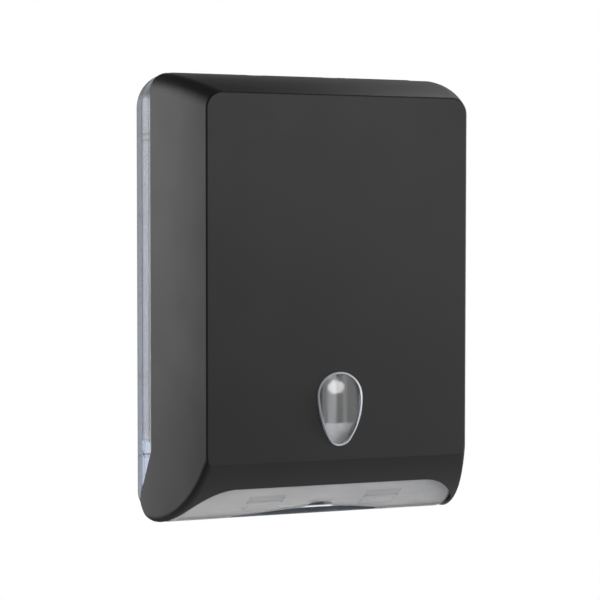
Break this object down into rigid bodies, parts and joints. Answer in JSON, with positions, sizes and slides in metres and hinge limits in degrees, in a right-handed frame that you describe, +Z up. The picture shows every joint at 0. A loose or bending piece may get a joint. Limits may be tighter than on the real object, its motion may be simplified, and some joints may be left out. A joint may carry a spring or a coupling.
{
  "type": "folded paper towel dispenser",
  "caption": "Wall-mounted dispenser for folded paper towels: hinged charcoal cover with a drop-shaped level window, smoke-clear housing and a clear outlet tray with a finger notch",
  "frame": {"origin": "middle of the back, in the plane of the wall, at half the height", "axes": "+X to the right seen from the front, +Y into the wall, +Z up"},
  "size_m": [0.288, 0.1365, 0.4],
  "materials": {
    "charcoal_plastic": "soft-touch, fine grain",
    "smoke_plastic": "smoke-clear, smooth",
    "clear_plastic": "clear, polished",
    "tray_plastic": "clear grey, smooth",
    "guide_plastic": "light grey, fine satin",
    "dark_plastic": "black, moulded",
    "slider_plastic": "natural acetal",
    "pin_steel": "turned steel",
    "spring_steel": "drawn spring wire",
    "catch_steel": "pressed strip, fine grain",
    "screw_steel": "zinc plated"
  },
  "bodies": {
    "housing": {"rear_housing": "smoke_plastic", "outlet_tray": "tray_plastic", "tray_screws": "screw_steel", "towel_guide_left": "guide_plastic", "towel_guide_right": "guide_plastic", "hinge_pin_left": "pin_steel", "hinge_pin_right": "pin_steel", "latch_retainer": "dark_plastic", "latch_screws": "screw_steel", "latch_spring": "spring_steel"},
    "cover": {"front_cover": "charcoal_plastic", "level_window": "clear_plastic", "window_retainer": "dark_plastic", "cover_catch": "catch_steel", "catch_screws": "screw_steel"},
    "latch": {"latch_slider": "slider_plastic"}
  },
  "joints": [
    {"name": "cover_hinge", "type": "hinge", "parent": "housing", "child": "cover", "pos_m": [0, -0.031, -0.185], "axis": [1, 0, 0], "range_deg": [0, 90]},
    {"name": "latch_press", "type": "slide", "parent": "housing", "child": "latch", "axis": [0, 0, -1], "range_m": [0, 0.0055], "stiffness_N_per_m": 860, "springref_m": -0.0056, "deforming": ["latch_spring"]}
  ]
}
